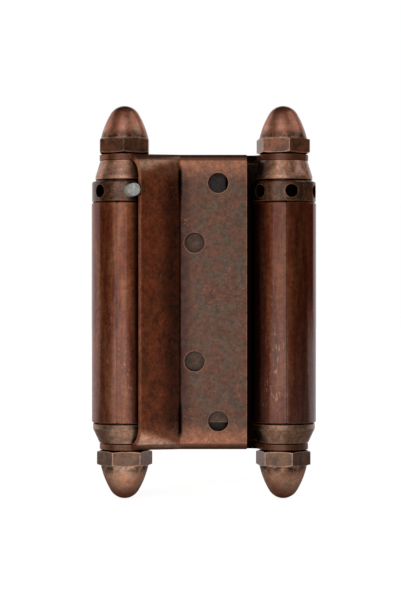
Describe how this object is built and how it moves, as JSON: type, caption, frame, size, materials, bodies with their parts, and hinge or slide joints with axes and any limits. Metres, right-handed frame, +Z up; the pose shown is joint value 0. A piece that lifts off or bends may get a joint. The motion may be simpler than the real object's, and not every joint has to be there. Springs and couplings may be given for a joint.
{
  "type": "double action spring hinge",
  "caption": "Double acting spring hinge for cafe doors: sprung barrels joined by a web, with folded screw leaves, acorn nuts and tension collars.",
  "frame": {"origin": "midway between the barrel axes, at mid height of the leaves", "axes": "+Z up along the barrels, +X from the door barrel to the jamb barrel, -Y out of the door leaf's face"},
  "size_m": [0.0584, 0.027, 0.1018],
  "materials": {
    "antique_copper_sheet": "antique copper plating over steel, dark brown with worn bright edges",
    "antique_copper_tube": "antique copper plating over steel, dark brown with worn bright edges",
    "antique_copper_nut": "antique copper plating over steel, dark brown with worn bright edges",
    "antique_copper_cone": "antique copper plating over steel, dark brown with worn bright edges",
    "antique_copper_collar": "antique copper plating over steel, dark brown with worn bright edges",
    "zinc_plated_steel": "zinc plated",
    "bright_steel": "ground bright",
    "spring_steel": "oil tempered"
  },
  "bodies": {
    "jamb_leaf": {"jamb_leaf": "antique_copper_sheet", "jamb_spindle": "bright_steel", "jamb_top_acorn_nut": "antique_copper_nut", "jamb_bottom_acorn_nut": "antique_copper_nut", "jamb_top_cone": "antique_copper_cone", "jamb_tension_collar": "antique_copper_collar", "jamb_tension_pin": "zinc_plated_steel"},
    "barrels": {"connecting_web": "antique_copper_sheet", "door_barrel": "antique_copper_tube", "door_bottom_cone": "antique_copper_cone", "door_spring": "spring_steel", "jamb_barrel": "antique_copper_tube", "jamb_bottom_cone": "antique_copper_cone", "jamb_spring": "spring_steel"},
    "door_leaf": {"door_leaf": "antique_copper_sheet", "door_spindle": "bright_steel", "door_top_acorn_nut": "antique_copper_nut", "door_bottom_acorn_nut": "antique_copper_nut", "door_top_cone": "antique_copper_cone", "door_tension_collar": "antique_copper_collar", "door_tension_pin": "zinc_plated_steel"}
  },
  "joints": [
    {"name": "jamb_swing", "type": "hinge", "parent": "jamb_leaf", "child": "barrels", "pos_m": [0.0206, 0, 0], "axis": [0, 0, 1], "range_deg": [0, 120], "stiffness_Nm_per_rad": 0.3, "springref_deg": -57.3, "deforming": ["jamb_spring"]},
    {"name": "door_swing", "type": "hinge", "parent": "barrels", "child": "door_leaf", "pos_m": [-0.0206, 0, 0], "axis": [0, 0, -1], "range_deg": [0, 120], "stiffness_Nm_per_rad": 0.3, "springref_deg": -57.3, "deforming": ["door_spring"]}
  ]
}
